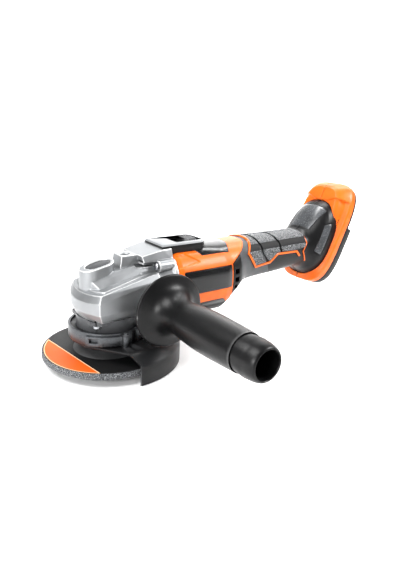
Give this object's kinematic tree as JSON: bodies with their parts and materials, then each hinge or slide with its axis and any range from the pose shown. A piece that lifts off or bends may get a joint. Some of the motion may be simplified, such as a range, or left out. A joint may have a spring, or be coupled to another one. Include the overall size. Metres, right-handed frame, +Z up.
{
  "type": "angle grinder",
  "caption": "Cordless angle grinder with a right-angle gear head, turning wheel guard, grinding wheel, spindle lock, slide switch, side handle and battery foot.",
  "frame": {"origin": "centre of the spindle's lower end face, on the spindle axis", "axes": "+Z up along the spindle axis, into the gear head; +X back along the tool to the battery foot; -Y is the side the side handle is screwed to"},
  "size_m": [0.3809, 0.2555, 0.1534],
  "materials": {
    "cast_head": "bead-blasted casting, satin",
    "steel": "machined steel, satin",
    "black_steel": "black painted or blackened steel, semi-gloss",
    "abrasive": "bonded abrasive, gritty",
    "orange_shell": "glass-filled nylon, satin",
    "black_plastic": "glass-filled nylon, satin",
    "gloss_panel": "smooth moulded plastic, glossy",
    "grey_plastic": "glass-filled nylon, satin",
    "soft_grip": "moulded elastomer, fine grain",
    "copper": "enamelled copper wire or sintered bronze",
    "board": "potted circuit board"
  },
  "bodies": {
    "housing": {"bearing_flange": "black_steel", "flange_screw_1": "steel", "flange_screw_2": "steel", "flange_screw_3": "steel", "flange_screw_4": "steel", "lower_bearing_outer": "steel", "spindle_bush": "copper", "gear_housing": "cast_head", "head_screw_1": "steel", "head_screw_2": "steel", "head_screw_3": "steel", "head_screw_4": "steel", "lock_spring": "steel", "front_bearing": "steel", "rear_bearing": "steel", "fan_baffle": "black_plastic", "stator_core": "steel", "front_coils": "copper", "rear_coils": "copper", "motor_housing": "orange_shell", "label_plate_left": "gloss_panel", "label_plate_right": "gloss_panel", "top_cover": "gloss_panel", "belly_cover": "black_plastic", "switch_frame": "black_plastic", "micro_switch": "black_plastic", "handle_left": "grey_plastic", "grip_pad_left": "soft_grip", "accent_strip_left": "orange_shell", "foot_shell_left": "orange_shell", "handle_right": "grey_plastic", "grip_pad_right": "soft_grip", "accent_strip_right": "orange_shell", "foot_shell_right": "orange_shell", "handle_screw_1": "steel", "handle_screw_2": "steel", "vent_grille": "black_plastic", "control_module": "board", "battery_base": "black_plastic", "terminal_block": "black_plastic", "side_handle": "black_plastic", "handle_stud": "steel"},
    "spindle": {"spindle": "steel", "bevel_gear": "steel", "lower_bearing_inner": "steel", "inner_flange": "steel", "grinding_disc": "abrasive", "lock_nut": "black_steel"},
    "rotor": {"rotor_shaft": "steel", "rotor_core": "steel", "pinion": "steel", "fan": "black_plastic"},
    "guard": {"guard": "black_steel", "guard_band": "steel", "lever_pin": "steel"},
    "guard_lever": {"guard_lever": "steel"},
    "lock_button": {"lock_button": "grey_plastic", "lock_pin": "steel"},
    "switch": {"slide_switch": "grey_plastic", "switch_rod": "black_plastic"}
  },
  "joints": [
    {"name": "spindle_spin", "type": "hinge", "parent": "housing", "child": "spindle", "pos_m": [0, 0, 0], "axis": [0, 0, 1], "continuous": true},
    {"name": "rotor_spin", "type": "hinge", "parent": "housing", "child": "rotor", "pos_m": [0, 0, 0.058], "axis": [1, 0, 0], "continuous": true},
    {"name": "guard_turn", "type": "hinge", "parent": "housing", "child": "guard", "pos_m": [0, 0, 0.018], "axis": [0, 0, 1], "range_deg": [-75, 75]},
    {"name": "lever_open", "type": "hinge", "parent": "guard", "child": "guard_lever", "pos_m": [-0.00282, -0.0404, 0.024], "axis": [0, 0, 1], "range_deg": [0, 25]},
    {"name": "lock_press", "type": "slide", "parent": "housing", "child": "lock_button", "axis": [0, 0, -1], "range_m": [0, 0.003], "stiffness_N_per_m": 1500, "deforming": ["lock_spring"]},
    {"name": "switch_slide", "type": "slide", "parent": "housing", "child": "switch", "axis": [-1, 0, 0], "range_m": [0, 0.006]}
  ],
  "couplings": [
    {"joint": "rotor_spin", "follows": "spindle_spin", "ratio": 3}
  ]
}
